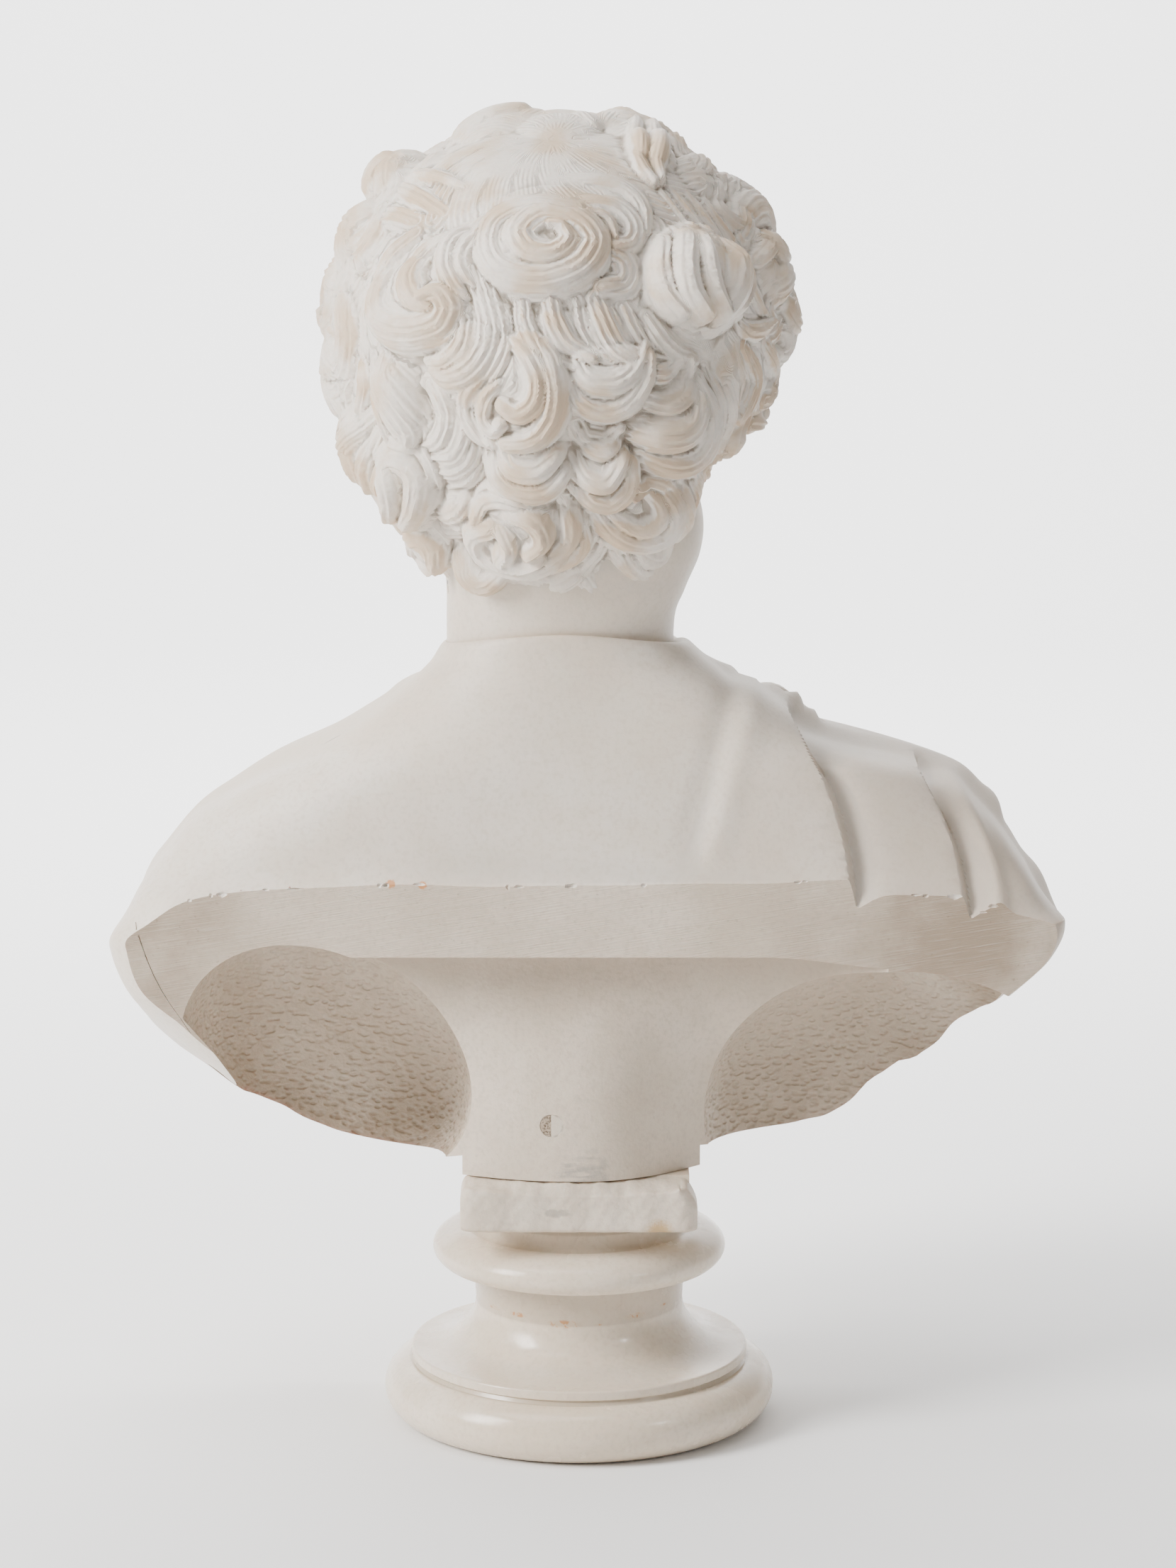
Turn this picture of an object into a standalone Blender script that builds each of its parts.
"""A marble portrait bust in antique dress, hollowed behind, on a turned socle.

Metres, +Z up. The origin is the middle of the socle's underside. The figure faces -Y, and turns its head to
its own right, which is -X. The socle has its own sizes. The bust is a free form, carved as shares of its own
height: its measures are in parts, of which BUST_PARTS make that height, counted up from its foot.
"""
import math

import bmesh
import bpy
import numpy as np
from mathutils import Vector

# The turned socle
FOOT_RADIUS = 0.1075
FOOT_HEIGHT = 0.031
FILLET_RADIUS = 0.0926
FILLET_GROOVE = 0.0023
FILLET_HEIGHT = 0.0053
FILLET_STEP = 0.002
WAIST_RADIUS = 0.057
WAIST_RISE = 0.0264
NECKING_HEIGHT = 0.0195
NECKING_FLARE = 0.002
COLLAR_RADIUS = 0.0805
COLLAR_LIP = 0.007
COLLAR_SWELL_SHARE = 0.6
COLLAR_HEIGHT = 0.0201
DISC_RADIUS = 0.0595
DISC_HEIGHT = 0.0065
TURNED_STEPS = 32

# The square die on the socle and the plate behind it
DIE_WIDTH = 0.119
DIE_FRONT = 0.050
DIE_BACK = 0.055
DIE_HEIGHT = 0.0366
PLATE_OVERHANG = 0.004
PLATE_THICKNESS = 0.017
PLATE_HEIGHT = 0.0275
PLATE_BITE = 0.003
PLATE_WEAR = 0.006
EDGE_WEAR_SHARE = 0.35
CORNER_CHIP = 0.007

# The seam between the two blocks
SEAM = 0.0003

# The bust's height, and the parts that its carving is measured in
BUST_HEIGHT = 0.563
BUST_PARTS = 563.0
PART = BUST_HEIGHT / BUST_PARTS

# The pillar at the foot of the bust: its spread beyond the die that carries it, and its height in parts
PILLAR_SPREAD_LEFT = 0.003
PILLAR_SPREAD_RIGHT = 0.006
PILLAR_SETBACK = 0.005
PILLAR_TOP = 120.0
PILLAR_EXCESS = 10.0

# The hollowed back, in parts
BACK_PLANE = 90.0
BACK_PLANE_TOP = 190.0
STRIP_BOTTOM = 126.6
RECESS_WIDTH = 165.0
WALL_LEAN = 0.30

# The head, in parts: its middle at eye level, and its turn to the figure's right in degrees
HEAD_PLACE = (4.0, -20.0, 438.0)
HEAD_TURN = 25.0

# The hair's mass about its own middle, in parts from the head's middle
HAIR_MIDDLE = (0.0, 16.0, 10.0)
HAIR_SEEN = (10.4, 441.0)
HAIR_SIDE = 117.0
HAIR_DEPTH = 115.0
HAIR_TOP = 109.0
HAIR_NAPE = 150.0
HAIR_INSIDE = 0.60
HAIR_EDGE = 44.0

# How fine each carved form is
HAIR_SUBDIVISIONS = 7
HAIR_FACETS = 3850
HEAD_SUBDIVISIONS = 5
HEAD_FACETS = 850
TORSO_COLUMNS = 176
TORSO_ROWS_A_LEVEL = 3
TORSO_FACETS = 2100


def smoothstep(low, high, value):
    share = np.clip((value - low) / (high - low), 0.0, 1.0)
    return share * share * (3.0 - 2.0 * share)


def mound(across, up, place, spread):
    """A soft mound of height 1 at a place, falling off within its spread."""
    return np.exp(-((across - place[0]) / spread[0]) ** 2 - ((up - place[1]) / spread[1]) ** 2)


def smooth_rows(rows, steps):
    """The rows of a table with steps - 1 more between each pair, on smooth curves through them all."""
    table = np.array(rows, dtype=float)
    first = 2.0 * table[0] - table[1]
    last = 2.0 * table[-1] - table[-2]
    padded = np.vstack([first, table, last])
    result = []
    for index in range(len(table) - 1):
        before, here, there, after = padded[index:index + 4]
        for step in range(steps):
            t = step / steps
            bend = (2.0 * before - 5.0 * here + 4.0 * there - after) * t * t
            twist = (3.0 * here - 3.0 * there + after - before) * t ** 3
            result.append(0.5 * (2.0 * here + (there - before) * t + bend + twist))
    result.append(table[-1])
    return np.array(result)


def new_object(name, mesh, material=None):
    thing = bpy.data.objects.new(name, mesh)
    bpy.context.scene.collection.objects.link(thing)
    if material:
        mesh.materials.append(material)
    return thing


def hide_helper(thing):
    """A cutter or a form that is joined into another piece."""
    thing.hide_render = True
    thing.display_type = 'WIRE'
    return thing


def mesh_from(bm, name):
    bmesh.ops.recalc_face_normals(bm, faces=bm.faces)
    mesh = bpy.data.meshes.new(name)
    bm.to_mesh(mesh)
    bm.free()
    return mesh


def place_in_bust(points):
    """Parts above the bust's foot to metres in the object's frame."""
    return np.asarray(points) * PART + np.array([0.0, 0.0, bust_foot()])


def socle_top():
    return (FOOT_HEIGHT + FILLET_GROOVE + FILLET_HEIGHT + WAIST_RISE + NECKING_HEIGHT
            + COLLAR_HEIGHT + DISC_HEIGHT)


def die_top():
    return socle_top() + DIE_HEIGHT


def bust_foot():
    return die_top() + SEAM


def marble(name, colour, roughness):
    material = bpy.data.materials.new(name)
    material.use_nodes = True
    shader = material.node_tree.nodes['Principled BSDF']
    shader.inputs['Base Color'].default_value = (*colour, 1.0)
    shader.inputs['Roughness'].default_value = roughness
    shader.inputs['Metallic'].default_value = 0.0
    return material


def boolean(thing, helper, operation):
    modifier = thing.modifiers.new(operation.title() + ' ' + helper.name, 'BOOLEAN')
    modifier.operation = operation
    modifier.solver = 'EXACT'
    modifier.object = helper


def decimate(thing, facets):
    """Fewer facets where the form is smooth, the rest where it is carved."""
    thing.data.calc_loop_triangles()
    modifier = thing.modifiers.new('Facets', 'DECIMATE')
    modifier.ratio = facets / len(thing.data.loop_triangles)


# The socle

def arc(middle, radii, start, end, steps):
    angles = np.radians(np.linspace(start, end, steps + 1))
    return [(middle[0] + radii[0] * math.cos(a), middle[1] + radii[1] * math.sin(a)) for a in angles]


def socle_profile():
    """Radius and height from the underside up: torus, fillet, scotia, collar and disc."""
    torus = FOOT_HEIGHT / 2
    points = [(0.0, 0.0)]
    points += arc((FOOT_RADIUS - torus, torus), (torus, torus), -90, 88, 7)
    fillet = FOOT_HEIGHT + FILLET_GROOVE
    points += [(FILLET_RADIUS, fillet), (FILLET_RADIUS, fillet + FILLET_HEIGHT)]
    waist = fillet + FILLET_HEIGHT + WAIST_RISE
    scotia = FILLET_RADIUS - FILLET_STEP
    points += arc((scotia, waist), (scotia - WAIST_RADIUS, WAIST_RISE), 270, 180, 5)
    collar = waist + NECKING_HEIGHT
    points += [(WAIST_RADIUS + NECKING_FLARE / 4, collar - NECKING_HEIGHT / 2),
               (WAIST_RADIUS + NECKING_FLARE, collar)]
    top = collar + COLLAR_HEIGHT
    swell = COLLAR_RADIUS - DISC_RADIUS
    rise = COLLAR_HEIGHT * COLLAR_SWELL_SHARE
    points += [(COLLAR_RADIUS - COLLAR_LIP, collar)]
    points += arc((COLLAR_RADIUS - swell, top - rise), (swell, rise), -38, 90, 6)
    points += [(DISC_RADIUS, top + DISC_HEIGHT), (0.0, top + DISC_HEIGHT)]
    return points


def box_between(low, high):
    bm = bmesh.new()
    bmesh.ops.create_cube(bm, size=1.0)
    size = Vector(high) - Vector(low)
    middle = (Vector(high) + Vector(low)) / 2
    bmesh.ops.scale(bm, vec=size, verts=bm.verts)
    bmesh.ops.translate(bm, vec=middle, verts=bm.verts)
    return bm


def worn_plate():
    """The plate behind the die, its top edge worn down in the middle and its right corner chipped."""
    half = DIE_WIDTH / 2 + PLATE_OVERHANG
    low = (-half, DIE_BACK - PLATE_BITE, die_top() - PLATE_HEIGHT)
    high = (half, DIE_BACK + PLATE_THICKNESS, die_top())
    bm = box_between(low, high)
    lengthwise = [e for e in bm.edges if abs(e.verts[0].co.x - e.verts[1].co.x) > half]
    bmesh.ops.subdivide_edges(bm, edges=lengthwise, cuts=9, use_grid_fill=True)
    for vert in bm.verts:
        if vert.co.z > die_top() - 1e-6 and vert.co.y > DIE_BACK:
            middle_share = 1.0 - (vert.co.x / half) ** 2
            vert.co.z -= PLATE_WEAR * (EDGE_WEAR_SHARE + (1.0 - EDGE_WEAR_SHARE) * middle_share)
            if vert.co.x < -half + 1e-6:
                vert.co.z -= CORNER_CHIP
    return mesh_from(bm, 'plate')


def build_socle(material):
    bm = bmesh.new()
    verts = [bm.verts.new((radius, 0.0, height)) for radius, height in socle_profile()]
    edges = [bm.edges.new(pair) for pair in zip(verts, verts[1:])]
    bmesh.ops.spin(bm, geom=verts + edges, cent=(0, 0, 0), axis=(0, 0, 1), angle=math.tau,
                   steps=TURNED_STEPS, use_merge=True)
    bmesh.ops.remove_doubles(bm, verts=bm.verts, dist=1e-5)
    socle = new_object('socle', mesh_from(bm, 'socle'), material)
    half = DIE_WIDTH / 2
    inside = socle_top() - DISC_HEIGHT / 2
    die = box_between((-half, -DIE_FRONT, inside), (half, DIE_BACK, die_top()))
    boolean(socle, hide_helper(new_object('die', mesh_from(die, 'die'))), 'UNION')
    boolean(socle, hide_helper(new_object('plate', worn_plate())), 'UNION')
    return socle


# The torso: level by level from the chest's lower edge to the neckline, in parts.
# Each row: left x, its z, right x, its z, front y, its z, back y, its z, squareness of the back's corners
TORSO_LEVELS = (
    (50, 10, -50, 10, -44, 10, 60, 18, 3.0),
    (93, 2, -88, 9, -74, 2, 94, 20, 3.0),
    (128, 6, -128, 13, -92, 4, 102, 28, 3.4),
    (152, 15, -150, 24, -102, 12, 106, 38, 4.0),
    (182, 30, -186, 50, -111, 28, 109, 54, 5.0),
    (206, 49, -210, 70, -119, 46, 110, 74, 6.0),
    (223, 62, -232, 87, -125, 62, 110, 90, 6.0),
    (240, 80, -249, 103, -131, 82, 109, 106, 7.0),
    (249, 104, -261, 119, -135, 104, 107, 120, 7.0),
    (247, 123, -261, 134, -136, 124, 103, 134, 8.0),
    (235, 153, -250, 160, -134, 155, 96, 156, 8.0),
    (224, 168, -238, 180, -130, 174, 86, 172, 7.0),
    (208, 188, -224, 198, -124, 192, 81, 190, 5.0),
    (192, 199, -203, 216, -118, 208, 78.5, 206, 4.2),
    (170, 212, -182, 224, -111, 222, 76.5, 221, 3.6),
    (135, 228, -140, 232, -101, 238, 73, 237, 3.2),
    (112, 243, -112, 248, -91, 250, 69, 252, 3.0),
    (94, 259, -90, 261, -81, 260, 64.5, 267, 2.8),
    (81, 271, -70, 273, -74, 265, 60, 280, 2.6),
    (72, 282, -57, 283, -68, 268, 57.5, 292, 2.4),
    (62, 275, -46, 276, -58, 258, 47, 280, 2.4),
)
FRONT_SQUARENESS = 2.35
RIGHT_CORNER = 1.45
RIGHT_TIP_LIFT = 20.0
LEFT_TIP_LIFT = 18.0
CHEST_YAW = 0.10
BROOCH_PLACE = (-104.0, -68.0, 234.0)
BROOCH_RADIUS = 17.0
BROOCH_TILT = 35.0
BROOCH_DOME = 0.5
FOLD_PERIOD = 17.0
FOLD_HEIGHT = 12.0
FOLD_SINK = 0.45
FOLD_DROP = 7.0
KNOT_PLACE = (-119.0, -22.0, 250.0)
KNOT_SIZE = 15.0
KNOT_HEIGHT = 6.0


def ring_of(level, columns):
    """One level of the torso as a closed ring that runs from the left to the back, right and front."""
    left, left_z, right, right_z, front, front_z, back, back_z, square = level
    angle = np.arange(columns) * math.tau / columns
    c, s = np.cos(angle), np.sin(angle)
    corner = np.where(c < 0, square * RIGHT_CORNER, square)
    power = np.where(s > 0, corner, FRONT_SQUARENESS)
    reach = (np.abs(c) ** power + np.abs(s) ** power) ** (-1.0 / power)
    x = (left + right) / 2 + (left - right) / 2 * reach * c
    y = np.where(s > 0, back, -front) * reach * s
    y -= CHEST_YAW * x * np.clip(-s, 0, 1)
    z = (left_z * np.clip(c, 0, 1) ** 2 + right_z * np.clip(-c, 0, 1) ** 2
         + back_z * np.clip(s, 0, 1) ** 2 + front_z * np.clip(-s, 0, 1) ** 2)
    right_lift = RIGHT_TIP_LIFT * smoothstep(30, 80, right_z) * smoothstep(165, 120, right_z)
    left_lift = LEFT_TIP_LIFT * smoothstep(5, 40, left_z) * smoothstep(150, 100, left_z)
    z += 2.0 * np.clip(s, 0, 1) * (right_lift * np.clip(-c, 0, 1) + left_lift * np.clip(c, 0, 1))
    return np.stack([x, y, z], axis=1)


def fold_line(x_low, x_high, z_low, z_high, z):
    """A fold's edge down the back: it swings out from the shoulder and then falls straight."""
    share = np.clip((z - z_low) / (z_high - z_low), 0.0, 1.3)
    return x_low + (x_high - x_low) * share ** 2


def back_folds(x, y, z):
    """The cloak's overlapping edges below the right shoulder, and a soft hollow beside the spine."""
    first = fold_line(-147, -102, 156, 265, z)
    second = fold_line(-207, -172, 148, 239, z)
    ridge = fold_line(-221, -204, 150, 218, z)
    height = -(4.4 + 2.2 * smoothstep(156, 265, z)) * smoothstep(1.0, -FOLD_DROP, x - first)
    height -= 1.5 * np.exp(-((x - first + 7) / 5.0) ** 2)
    height -= 3.6 * smoothstep(1.0, -FOLD_DROP, x - second)
    height += 2.6 * np.exp(-((x - ridge) / 6.0) ** 2)
    groove = -55.0 - 26.0 * (z - 173.0) / 92.0
    height -= 1.3 * np.exp(-((x - groove) / 8.0) ** 2) * smoothstep(165, 190, z)
    return height * smoothstep(-25, 12, y) * smoothstep(120, 150, z)


def front_folds(x, y, z):
    """Folds that fan out from the brooch on the right shoulder, across the chest and down over it."""
    across = x - BROOCH_PLACE[0]
    down = BROOCH_PLACE[2] - z
    reach = np.hypot(across, down)
    angle = np.degrees(np.arctan2(down, across)) + 9.0 * np.sin(reach / 85.0)
    share = np.mod(angle / FOLD_PERIOD + 0.15, 1.0)
    profile = (1.0 - share) ** 1.1 * smoothstep(0.0, 0.30, share)
    spread = (0.25 + 0.75 * smoothstep(20, 120, reach)) * smoothstep(8, 30, reach)
    height = FOLD_HEIGHT * (profile - FOLD_SINK) * spread
    return height * smoothstep(15, -35, y) * smoothstep(0, 35, z)


def shoulder_knot(x, y, z):
    """Cloth bunched over the right shoulder, above the brooch."""
    place = np.array(KNOT_PLACE)
    away = (x - place[0]) ** 2 + (y - place[1]) ** 2 + (z - place[2]) ** 2
    return KNOT_HEIGHT * np.exp(-away / KNOT_SIZE ** 2)


def displaced(grid, amount):
    """A grid of points moved along its own outward normals."""
    around = np.roll(grid, -1, axis=1) - np.roll(grid, 1, axis=1)
    along = np.gradient(grid, axis=0)
    normal = np.cross(around, along)
    normal /= np.linalg.norm(normal, axis=2, keepdims=True) + 1e-9
    return grid + normal * amount[..., None]


def loft(name, grid):
    """A closed solid through rings that run upwards, with a flat fan over each end."""
    bm = bmesh.new()
    rows = [[bm.verts.new(point) for point in ring] for ring in grid]
    count = len(rows[0])
    for lower, upper in zip(rows, rows[1:]):
        for k in range(count):
            n = (k + 1) % count
            bm.faces.new((lower[k], lower[n], upper[n], upper[k]))
    for ring in (rows[0], rows[-1]):
        middle = sum((v.co for v in ring), Vector()) / count
        tip = bm.verts.new(middle)
        for k in range(count):
            bm.faces.new((ring[k], ring[(k + 1) % count], tip))
    return mesh_from(bm, name)


def build_torso(material):
    levels = smooth_rows(TORSO_LEVELS, TORSO_ROWS_A_LEVEL)
    grid = np.stack([ring_of(level, TORSO_COLUMNS) for level in levels])
    x, y, z = grid[..., 0], grid[..., 1], grid[..., 2]
    amount = back_folds(x, y, z) + front_folds(x, y, z) + shoulder_knot(x, y, z)
    rows = np.arange(len(levels))[:, None]
    amount = amount * smoothstep(1, 5, rows) * smoothstep(len(levels) - 1, len(levels) - 5, rows)
    torso = new_object('bust', loft('bust', place_in_bust(displaced(grid, amount))), material)
    decimate(torso, TORSO_FACETS)
    return torso


# The neck: left x, right x, front y, back y and z of each ring, in parts
NECK_RINGS = (
    (71, -52, -62, 50, 240),
    (71, -51, -62, 55, 292),
    (71, -57, -64, 60, 312),
    (73, -65, -62, 64, 332),
    (70, -66, -54, 62, 352),
    (58, -58, -44, 50, 380),
)
NECK_SQUARENESS = 2.2
NECK_COLUMNS = 24


def build_neck():
    rings = smooth_rows(NECK_RINGS, 2)
    grid = []
    for left, right, front, back, z in rings:
        level = (left, z, right, z, front, z, back, z, NECK_SQUARENESS)
        grid.append(ring_of(level, NECK_COLUMNS))
    return hide_helper(new_object('neck', loft('neck', place_in_bust(np.array(grid)))))


def build_brooch():
    """The round brooch that pins the cloak: a domed disc that leans with the shoulder."""
    bm = bmesh.new()
    bmesh.ops.create_uvsphere(bm, u_segments=16, v_segments=8, radius=BROOCH_RADIUS * PART)
    middle = place_in_bust(BROOCH_PLACE)
    tilt = math.radians(BROOCH_TILT)
    for vert in bm.verts:
        x, y, z = vert.co
        y *= BROOCH_DOME
        leaning = (x, y * math.cos(tilt) + z * math.sin(tilt), z * math.cos(tilt) - y * math.sin(tilt))
        vert.co = Vector(leaning) + Vector(middle)
    return hide_helper(new_object('brooch', mesh_from(bm, 'brooch')))


def build_pillar():
    """The support below the chest: a block that starts on the die and runs up into the back."""
    half = DIE_WIDTH / 2
    left = half + PILLAR_SPREAD_LEFT
    right = half + PILLAR_SPREAD_RIGHT
    front = -DIE_FRONT + PILLAR_SETBACK
    step = front + PILLAR_SETBACK
    back = (BACK_PLANE + PILLAR_EXCESS) * PART
    outline = [(half, front), (half, step), (left, step), (left, back),
               (-right, back), (-right, step), (-half, step), (-half, front)]
    bm = bmesh.new()
    face = bm.faces.new([bm.verts.new((x, y, bust_foot())) for x, y in outline])
    raised = bmesh.ops.extrude_face_region(bm, geom=[face])
    moved = [item for item in raised['geom'] if isinstance(item, bmesh.types.BMVert)]
    bmesh.ops.translate(bm, vec=(0, 0, PILLAR_TOP * PART), verts=moved)
    return hide_helper(new_object('pillar', mesh_from(bm, 'pillar')))


# The cuts that hollow the back

def back_cutter():
    low = place_in_bust((-400, BACK_PLANE, -20))
    high = place_in_bust((400, BACK_PLANE + 90, BACK_PLANE_TOP))
    return hide_helper(new_object('back cutter', mesh_from(box_between(low, high), 'back cutter')))


def pillar_face(x, z):
    """How far back the pillar's face stands: round at the foot, and a shallow cove under the strip."""
    foot_share = 1.0 - smoothstep(40, 126, z)
    fall = 15.0 * (x / 62.5) ** 2 if x > 0 else 35.0 * (x / 65.5) ** 2
    face = 70.0 - min(fall, 38.0) * (0.15 + 0.85 * foot_share) - 9.0 * smoothstep(70, 126, z)
    return face + (BACK_PLANE + 3.0 - face) * smoothstep(100.0, RECESS_WIDTH - 5.0, abs(x))


def recess_cutter():
    """Takes the face of the pillar back from the strip's plane."""
    xs = np.linspace(-RECESS_WIDTH, RECESS_WIDTH, 23)
    zs = np.linspace(-20, STRIP_BOTTOM, 9)
    bm = bmesh.new()
    front = [[bm.verts.new(place_in_bust((x, pillar_face(x, z), z))) for x in xs] for z in zs]
    back = [[bm.verts.new(place_in_bust((x, BACK_PLANE + 60, z))) for x in xs] for z in zs]
    for row in range(len(zs) - 1):
        for k in range(len(xs) - 1):
            bm.faces.new((front[row][k], front[row][k + 1], front[row + 1][k + 1], front[row + 1][k]))
            bm.faces.new((back[row][k], back[row + 1][k], back[row + 1][k + 1], back[row][k + 1]))
        for k in (0, -1):
            bm.faces.new((front[row][k], front[row + 1][k], back[row + 1][k], back[row][k]))
    for row in (0, -1):
        for k in range(len(xs) - 1):
            bm.faces.new((front[row][k], front[row][k + 1], back[row][k + 1], back[row][k]))
    return hide_helper(new_object('recess cutter', mesh_from(bm, 'recess cutter')))


def scoop_cutter(name, middle, radii, lean, dip, wall=None):
    """A bowl carved into the back: its mouth in the back plane, its length along lean, dipping as it goes in."""
    bm = bmesh.new()
    bmesh.ops.create_uvsphere(bm, u_segments=22, v_segments=14, radius=1.0)
    c, s = math.cos(math.radians(lean)), math.sin(math.radians(lean))
    for vert in bm.verts:
        steep = math.copysign((vert.co.y ** 2 * (2.0 - vert.co.y ** 2)) ** 0.25, vert.co.y)
        along, deep, up = vert.co.x * radii[0], steep * radii[1], vert.co.z * radii[2]
        if wall and along > 0:
            up = max(up, wall[0] + wall[1] * along + WALL_LEAN * min(deep, 0.0))
        x = middle[0] + along * c - up * s
        z = middle[2] + along * s + up * c + dip * min(deep, 0.0)
        vert.co = place_in_bust((x, middle[1] + deep, z))
    return hide_helper(new_object(name, mesh_from(bm, name)))


# The head: height, half width, front and back of each level, in parts from its middle
HEAD_LEVELS = (
    (112, 0.5, 9, 11),
    (110, 26, -17, 36),
    (101, 47, -45, 64),
    (84, 61, -68, 84),
    (62, 70, -84, 96),
    (38, 74, -92, 101),
    (16, 74.5, -93, 101),
    (-4, 73, -88, 97),
    (-26, 70, -85, 88),
    (-48, 65, -84, 74),
    (-68, 59, -84, 58),
    (-86, 52, -82, 42),
    (-100, 42, -78, 26),
    (-110, 26, -66, 6),
    (-113, 0.5, -38, -36),
)


def head_surface(directions):
    """The plain egg of skull and jaw that unit directions from its middle meet."""
    table = smooth_rows(HEAD_LEVELS, 6)
    table[:, 1] = np.maximum(table[:, 1], 0.0)
    along = np.linspace(0.0, 1.0, len(table))
    polar = np.arccos(np.clip(directions[:, 2], -1, 1)) / math.pi
    z, half, front, back = (np.interp(polar, along, table[:, k]) for k in range(4))
    around = np.arctan2(directions[:, 1], directions[:, 0])
    c, s = np.cos(around), np.sin(around)
    middle = (front + back) / 2
    depth = (back - front) / 2
    power = 2.25
    reach = (np.abs(c) ** power + np.abs(s) ** power) ** (-1.0 / power)
    return np.stack([half * reach * c, middle + depth * reach * s, z], axis=1)


def nose(x, z):
    """How far the nose stands out from the egg: a straight ridge, a rounded tip and two wings."""
    ridge = np.interp(z, [-52, -47, -43, -38, -30, 4, 14, 26], [0, 9, 27, 36, 34, 6, 5, 0])
    width = np.interp(z, [-52, -44, -36, -20, 4, 20], [14, 13, 12, 9.5, 7.5, 11])
    side = np.clip(1.0 - (np.abs(x) / (width * 1.75)) ** 2, 0.0, 1.0) ** 1.6
    wings = 11.0 * mound(np.abs(x), z, (12.5, -40.0), (5.5, 6.5))
    return np.maximum(ridge * side, wings * smoothstep(-50, -45, z))


def eye(x, z):
    """A calm open eye in its socket: the ball, two lids and the fold above them."""
    across = np.abs(x) - 31.0
    socket = -11.0 * mound(np.abs(x), z, (29.0, 3.0), (19.0, 12.0)) * smoothstep(22, 12, z)
    ball = 10.0 * np.sqrt(np.clip(1.0 - (across / 17.0) ** 2 - ((z + 1.0) / 11.5) ** 2, 0.0, 1.0))
    upper = 6.2 - 0.026 * across ** 2
    lower = -7.0 + 0.020 * across ** 2
    inside = smoothstep(17.5, 15.0, np.abs(across))
    lids = 1.9 * np.exp(-((z - upper - 1.2) / 1.8) ** 2) + 1.5 * np.exp(-((z - lower + 1.0) / 1.6) ** 2)
    open_eye = smoothstep(upper + 0.6, upper - 0.6, z) * smoothstep(lower - 0.6, lower + 0.6, z)
    return socket + ball + (lids - 1.3 * open_eye) * inside


def mouth(x, z):
    """Closed lips on a rounded muzzle, with the hollow under the nose and above the chin."""
    line = -66.0 + 0.0035 * x ** 2
    half = np.clip(1.0 - (x / 27.0) ** 2, 0.0, 1.0)
    bow = line + 5.0 * half - 1.4 * np.exp(-(x / 4.0) ** 2)
    upper = 4.2 * half * np.exp(-((z - line - 3.4) / 4.2) ** 2) * smoothstep(bow + 5.0, bow + 1.0, z)
    lower = 5.4 * np.clip(1.0 - (x / 22.0) ** 2, 0.0, 1.0) * np.exp(-((z - line + 5.8) / 5.0) ** 2)
    groove = -3.6 * np.exp(-((z - line) / 1.6) ** 2) * smoothstep(29, 22, np.abs(x))
    muzzle = 9.0 * mound(x, z, (0, -64), (30, 20))
    philtrum = -1.3 * mound(x, z, (0, -54), (3.2, 6.0))
    under = -4.0 * mound(x, z, (0, -82), (20, 5.5))
    return upper + lower + groove + muzzle + philtrum + under


def features(points):
    """Everything that stands out from the front of the egg, or is cut into it."""
    x, y, z = points.T
    brow = 4.5 * mound(np.abs(x), z, (27, 19), (22, 7)) + 3.0 * mound(x, z, (0, 20), (14, 10))
    cheek = 3.6 * mound(np.abs(x), z, (46, -24), (18, 17)) - 2.5 * mound(np.abs(x), z, (44, -58), (14, 16))
    chin = 9.0 * mound(x, z, (0, -97), (19, 12)) - 0.8 * mound(x, z, (0, -100), (3, 6))
    height = np.maximum(nose(x, z), 0.0) + brow + cheek + chin + mouth(x, z)
    height += eye(x, z) * smoothstep(9, 15, np.abs(x))
    return height * smoothstep(-18, -50, y)


def to_bust(points):
    """The head's own parts to the bust's, turned to the figure's right."""
    turn = math.radians(HEAD_TURN)
    c, s = math.cos(turn), math.sin(turn)
    x, y, z = np.asarray(points, dtype=float).T
    return np.stack([x * c + y * s, y * c - x * s, z], axis=1) + np.array(HEAD_PLACE)


def to_head(points):
    turn = math.radians(HEAD_TURN)
    c, s = math.cos(turn), math.sin(turn)
    x, y, z = (np.asarray(points, dtype=float) - np.array(HEAD_PLACE)).T
    return np.stack([x * c - y * s, x * s + y * c, z], axis=1)


def icosphere(subdivisions):
    bm = bmesh.new()
    bmesh.ops.create_icosphere(bm, subdivisions=subdivisions, radius=1.0)
    directions = np.array([vert.co for vert in bm.verts], dtype=float)
    return bm, directions / np.linalg.norm(directions, axis=1, keepdims=True)


def moved_to(bm, points, name):
    for vert, point in zip(bm.verts, points):
        vert.co = point
    return mesh_from(bm, name)


def build_head():
    bm, directions = icosphere(HEAD_SUBDIVISIONS)
    points = head_surface(directions)
    points[:, 1] -= features(points)
    head = new_object('head', moved_to(bm, place_in_bust(to_bust(points)), 'head'))
    decimate(head, HEAD_FACETS)
    return hide_helper(head)


def build_ear(side):
    """One ear: a leaning shell, most of it under the hair."""
    bm = bmesh.new()
    bmesh.ops.create_uvsphere(bm, u_segments=12, v_segments=10, radius=1.0)
    points = np.array([vert.co for vert in bm.verts]) * np.array([9.0, 15.0, 29.0])
    points[:, 1] += 0.25 * points[:, 2]
    points[:, 0] += side * np.clip(points[:, 1], 0, 20) * 0.4
    points += np.array([side * 71.0, 14.0, -16.0])
    name = 'left ear' if side > 0 else 'right ear'
    return hide_helper(new_object(name, moved_to(bm, place_in_bust(to_bust(points)), name)))


# The hair

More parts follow.
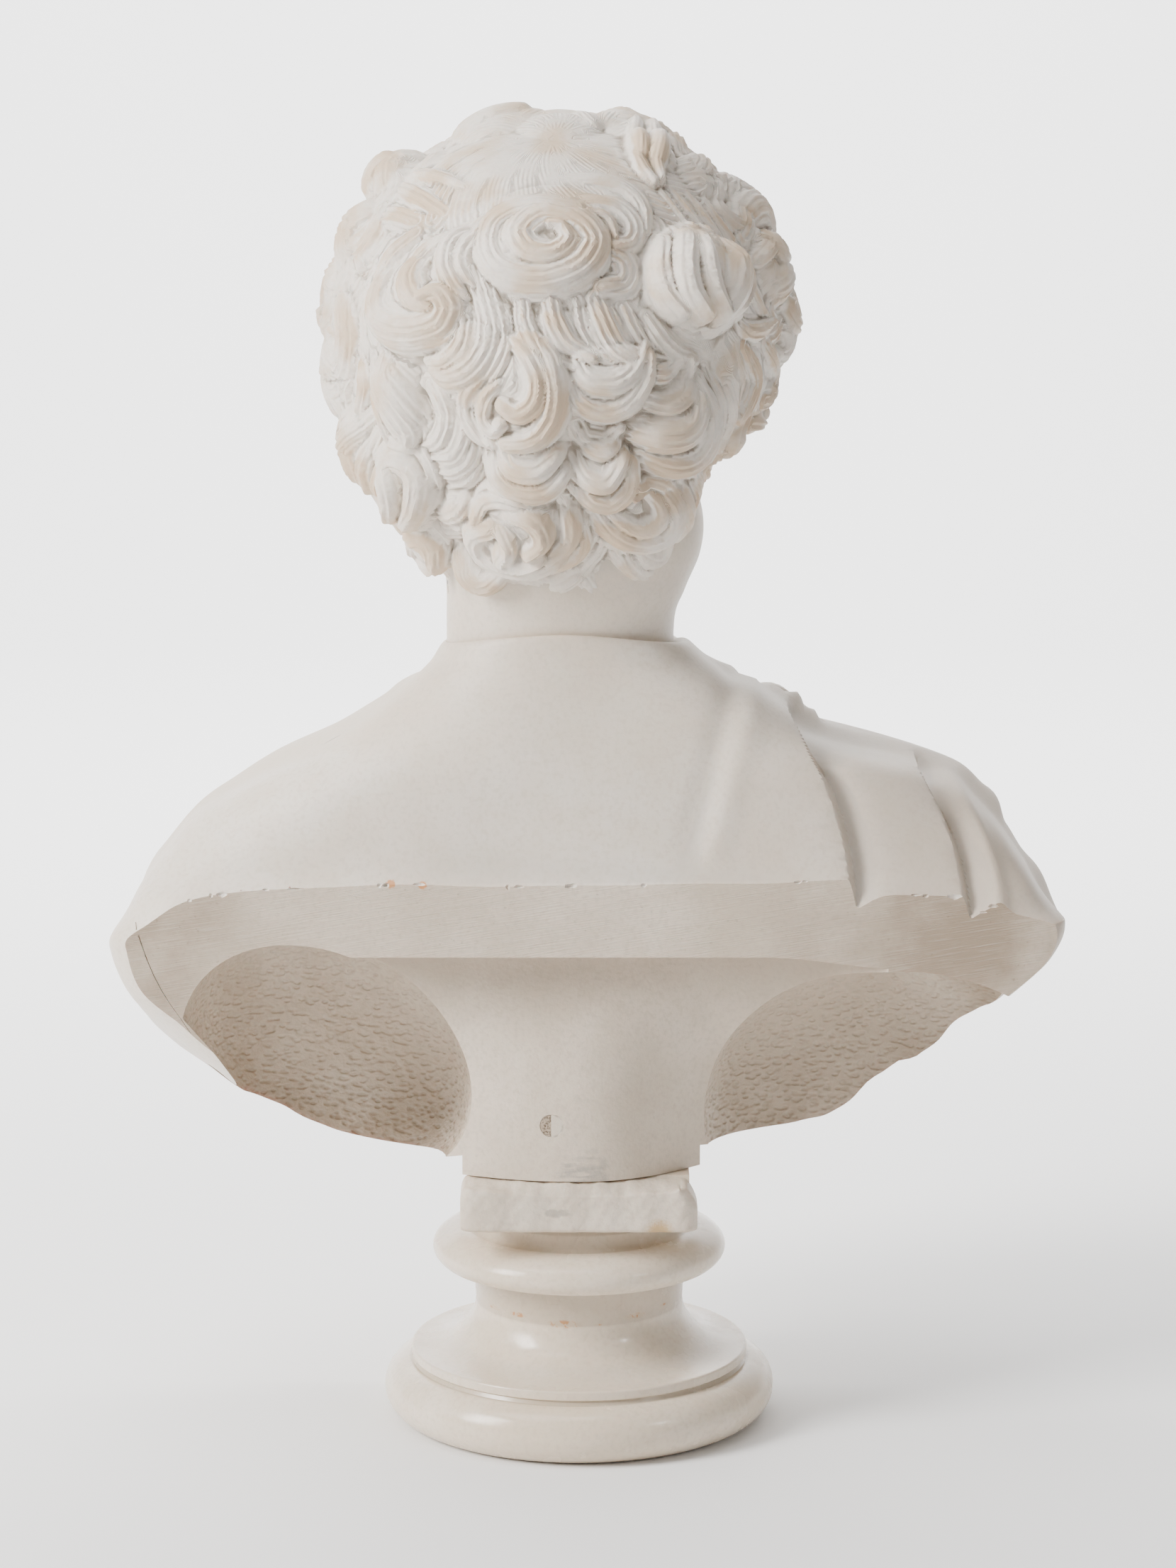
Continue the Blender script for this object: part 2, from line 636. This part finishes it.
def hair_mass(directions):
    """How far the plain mass of the hair reaches from its middle."""
    up = np.where(directions[:, 2] > 0, HAIR_TOP, HAIR_NAPE)
    return ((directions[:, 0] / HAIR_SIDE) ** 2 + (directions[:, 1] / HAIR_DEPTH) ** 2
            + (directions[:, 2] / up) ** 2) ** -0.5


def hair_edge(points):
    """1 under the hair and 0 on the face and neck, by how far a point lies behind the hairline."""
    x, y, z = points.T
    line = np.interp(z, [-135, -119, -60, -46, -36, -20, 0, 20, 40, 58, 72, 84],
                     [70, 22, 12, -4, -38, -46, -54, -64, -76, -88, -106, -160])
    share = np.clip((y - line) / HAIR_EDGE, 0.0, 1.0)
    return np.sqrt(1.0 - (1.0 - share) ** 2) * smoothstep(-134, -122, z)


def hair_base(directions):
    """The mass with its rounded edge around the face and over the nape."""
    mass = hair_mass(directions)
    cover = hair_edge(directions * mass[:, None] + np.array(HAIR_MIDDLE))
    return mass * (HAIR_INSIDE + (1.0 - HAIR_INSIDE) * cover)


def seen_from_behind(across, up):
    """Directions from the hair's middle to the places that someone behind the figure sees there."""
    across = np.asarray(across, dtype=float)
    up = np.asarray(up, dtype=float)
    sight = math.radians(3.8)
    low = np.zeros_like(across)
    high = np.full_like(across, 160.0)
    for _ in range(30):
        y = (low + high) / 2
        z = (up + y * math.sin(sight)) / math.cos(sight)
        place = np.stack([HAIR_SEEN[0] - across, y, z + HAIR_SEEN[1]], axis=1)
        local = to_head(place) - np.array(HAIR_MIDDLE)
        length = np.linalg.norm(local, axis=1)
        outside = length > hair_mass(local / length[:, None])
        high = np.where(outside, y, high)
        low = np.where(outside, low, y)
    return local / length[:, None]


def curl_plan(radius, start, sweep, tail, steps=26):
    """A lock's middle line about its eye: a tail that swings round into a closing curl."""
    t = np.linspace(0.0, 1.0, steps)
    angle = np.radians(start + sweep * t)
    reach = radius * (0.14 + 0.86 * (1.0 - t) ** 0.9)
    x, y = reach * np.cos(angle), reach * np.sin(angle)
    if tail:
        back = np.linspace(1.0, 0.12, 9)
        away = math.radians(start) - math.copysign(math.pi / 2, sweep)
        bend = math.copysign(0.35, sweep) * back
        x = np.concatenate([x[0] + tail * back * np.cos(away + bend), x])
        y = np.concatenate([y[0] + tail * back * np.sin(away + bend), y])
    return x, y


# The locks behind, as seen from there in parts about the hair's middle: the eye across and up, the curl's
# radius, where it starts and how far it sweeps in degrees, its half width, its lift and its tail's length
BACK_LOCKS = (
    (-5, 57, 31, 20, 420, 11, 11, 0), (-3, 60, 14, 200, 330, 6, 14, 0),
    (72, 37, 22, 70, 380, 11, 17, 0), (-62, 24, 24, 130, 330, 10, 11, 16),
    (-50, 8, 24, 60, -150, 11, 12, 26), (-50, 44, 16, 100, 170, 6, 8, 10),
    (20, 66, 24, 100, -190, 8, 9, 20), (43, 92, 12, 130, -250, 8, 11, 8),
    (92, 71, 13, 70, 300, 7, 10, 10), (100, 12, 14, 180, 190, 7, 9, 8),
    (112, 46, 13, 100, -240, 8, 10, 6), (118, 6, 16, 80, -220, 9, 10, 14),
    (-96, 56, 16, 60, 150, 7, 10, 10), (-88, 72, 14, 30, 150, 7, 10, 12),
    (-101, 88, 15, 20, 200, 9, 10, 6), (-116, 30, 14, 60, 220, 9, 9, 10),
    (-98, 10, 18, 60, 140, 9, 8, 26), (-78, -24, 15, 70, -170, 9, 11, 18),
    (-60, -30, 14, 70, -190, 8, 10, 18), (-54, -50, 11, 60, -180, 6, 9, 10),
    (-118, -18, 14, 120, 230, 8, 9, 8), (-94, -26, 13, 40, -190, 8, 10, 12),
    (-80, -62, 19, 30, -400, 11, 17, 12), (-101, -50, 14, 50, 240, 8, 11, 10),
    (-110, -66, 13, 150, 210, 8, 10, 8), (-27, -30, 15, 90, 290, 8, 12, 12),
    (-12, -28, 20, 60, -210, 11, 13, 26), (-10, -57, 19, 60, -220, 11, 12, 10),
    (-29, -88, 20, 170, 400, 8, 13, 8), (-15, -84, 21, 70, -400, 9, 14, 10),
    (-12, 6, 14, 150, 160, 7, 8, 12), (4, 8, 14, 150, 160, 7, 8, 14),
    (20, 8, 14, 150, 160, 7, 8, 14), (36, 9, 14, 150, 160, 7, 8, 14), (52, 4, 14, 160, 160, 7, 8, 12),
    (22, -14, 24, 180, 190, 10, 11, 4), (52, -16, 15, 190, 190, 8, 11, 4),
    (52, -38, 27, 190, 215, 12, 13, 6), (15, -36, 15, 180, 190, 8, 10, 6),
    (19, -58, 18, 180, 200, 9, 12, 6), (39, -72, 20, 190, 410, 8, 13, 6),
    (60, -74, 16, 80, -190, 7, 10, 8), (78, -74, 17, 60, -200, 9, 11, 8),
    (99, -46, 14, 170, 330, 8, 13, 8), (88, -24, 14, 90, -190, 8, 9, 12),
    (118, -22, 16, 60, -200, 9, 10, 10), (-54, -78, 13, 200, 190, 6, 9, 4),
    (-54, -92, 12, 200, 190, 6, 9, 4), (-70, -94, 15, 110, -220, 8, 11, 8),
    (-78, -108, 12, 180, 200, 7, 9, 6), (-38, -106, 15, 180, 210, 8, 10, 4),
    (-48, -116, 12, 170, 200, 7, 9, 8), (-20, -120, 13, 180, 200, 7, 9, 6),
    (0, -110, 15, 190, 200, 8, 10, 4), (28, -100, 15, 100, -220, 7, 10, 4),
    (44, -102, 14, 190, 220, 7, 11, 4), (22, -116, 15, 190, 180, 7, 9, 6),
    (50, -116, 14, 190, 180, 7, 9, 6), (64, -98, 13, 60, -210, 7, 9, 6),
)
CROWN = (-2.0, 104.0)
SIDE_LOCKS = 120
SIDE_LOCK_RADIUS = 17.0
LOCK_SEED = 11


def tangent_frame(direction, flow):
    """Two unit vectors across a direction: along the hair's flow and beside it."""
    along = flow - direction * np.dot(flow, direction)
    along /= np.linalg.norm(along) + 1e-9
    return along, np.cross(direction, along)


def side_locks(crown):
    """Locks over the sides, the top and round the face, flowing from the crown, each turned its own way."""
    random = np.random.default_rng(LOCK_SEED)
    behind = to_head(np.array([[0.0, 1.0, 0.0]]) + np.array(HEAD_PLACE))[0]
    lines = []
    for index in range(SIDE_LOCKS * 3):
        height = 1.0 - 2.0 * (index + 0.5) / (SIDE_LOCKS * 3)
        angle = index * math.pi * (3.0 - math.sqrt(5.0))
        flat = math.sqrt(1.0 - height * height)
        direction = np.array([flat * math.cos(angle), flat * math.sin(angle), height])
        draw = random.uniform(-1.0, 1.0, 4)
        from_crown = math.degrees(math.acos(np.clip(np.dot(direction, crown), -1, 1)))
        cover = hair_edge((direction * hair_mass(direction[None])[0] + np.array(HAIR_MIDDLE))[None])[0]
        if np.dot(direction, behind) > 0.30 or cover < 0.12 or from_crown < 42 or height < -0.72:
            continue
        along, beside = tangent_frame(direction, direction - crown)
        spin = 1 if draw[0] > 0 else -1
        radius = SIDE_LOCK_RADIUS * (1.0 + 0.22 * draw[1])
        x, y = curl_plan(radius, 100 * spin + 25 * draw[2], -spin * (300 + 80 * draw[3]), radius * 0.7)
        length = hair_mass(direction[None])[0]
        line = direction + (np.outer(-y, along) * spin + np.outer(x, beside)) / length
        line /= np.linalg.norm(line, axis=1, keepdims=True)
        lines.append((line, radius * 0.50, 10.5 + 2.5 * draw[1]))
    return lines


def crown_strands(crown):
    """Broad flat locks that stream from the crown and bend as they fall."""
    lines = []
    along, beside = tangent_frame(crown, np.array([0.0, 0.0, 1.0]))
    for index in range(14):
        angle = math.tau * index / 14
        t = np.linspace(0.02, 0.85, 18)
        turn = angle + 0.9 * t
        line = (crown + np.outer(t * np.cos(turn), along) + np.outer(t * np.sin(turn), beside))
        line /= np.linalg.norm(line, axis=1, keepdims=True)
        lines.append((line, 14.0, 5.0))
    return lines


def all_locks():
    """Every lock as its middle line of directions, half width and lift."""
    crown = seen_from_behind([CROWN[0]], [CROWN[1]])[0]
    locks = crown_strands(crown) + side_locks(crown)
    for across, up, radius, start, sweep, half, lift, tail in BACK_LOCKS:
        x, y = curl_plan(radius * 0.72, start, sweep, tail)
        locks.append((seen_from_behind(across + x, up + y), half, lift))
    return locks


def lock_relief(directions, base, line, half, lift):
    """The height of one lock over the hair's surface: a dome along its line that rises towards its eye."""
    path = line * hair_base(line)[:, None]
    points = directions * base[:, None]
    middle = path.mean(axis=0)
    reach = np.linalg.norm(path - middle, axis=1).max() + half * 1.2
    near = np.nonzero(np.linalg.norm(points - middle, axis=1) < reach)[0]
    if len(near) == 0:
        return near, np.zeros(0)
    spot = points[near]
    start, step = path[:-1], path[1:] - path[:-1]
    share = np.einsum('nij,ij->ni', spot[:, None] - start[None], step) / ((step ** 2).sum(axis=1) + 1e-9)
    share = np.clip(share, 0.0, 1.0)
    offset = spot[:, None] - (start[None] + share[..., None] * step[None])
    progress = (np.arange(len(step)) + share) / len(step)
    width = half * np.interp(progress, [0.0, 0.25, 0.6, 1.0], [0.45, 1.0, 0.95, 0.42])
    ratio = np.linalg.norm(offset, axis=2) / width
    best = ratio.argmin(axis=1)
    row = np.arange(len(near))
    ratio, progress = ratio[row, best], progress[row, best]
    dome = np.clip(1.0 - ratio ** 2, 0.0, 1.0) ** 0.75
    rise = np.interp(progress, [0.0, 0.3, 1.0], [0.35, 0.85, 1.0])
    return near, lift * rise * dome


def hair_surface(directions):
    base = hair_base(directions)
    relief = np.zeros(len(directions))
    for line, half, lift in all_locks():
        near, height = lock_relief(directions, base, line, half, lift)
        relief[near] = np.maximum(relief[near], height)
    shown = smoothstep(HAIR_INSIDE + 0.02, HAIR_INSIDE + 0.2, base / hair_mass(directions))
    return directions * (base + relief * shown)[:, None] + np.array(HAIR_MIDDLE)


def build_hair():
    bm, directions = icosphere(HAIR_SUBDIVISIONS)
    hair = new_object('hair', moved_to(bm, place_in_bust(to_bust(hair_surface(directions))), 'hair'))
    soften = hair.modifiers.new('Soften', 'SMOOTH')
    soften.iterations = 3
    decimate(hair, HAIR_FACETS)
    return hide_helper(hair)


def build_bust(material):
    bust = build_torso(material)
    for helper in (build_neck(), build_head(), build_ear(1), build_ear(-1), build_hair(), build_brooch(),
                   build_pillar()):
        boolean(bust, helper, 'UNION')
    left = scoop_cutter('left scoop', (133, BACK_PLANE, 64), (82, 112, 62), 35, 0.06, wall=(-38.0, 0.25))
    right = scoop_cutter('right scoop', (-170, BACK_PLANE, 30), (105, 104, 89), 0, 0.05)
    for helper in (back_cutter(), recess_cutter(), left, right):
        boolean(bust, helper, 'DIFFERENCE')
    return bust


def main():
    for thing in list(bpy.data.objects):
        bpy.data.objects.remove(thing)
    build_socle(marble('polished marble', (0.60, 0.55, 0.48), 0.35))
    build_bust(marble('honed marble', (0.60, 0.55, 0.50), 0.60))


main()
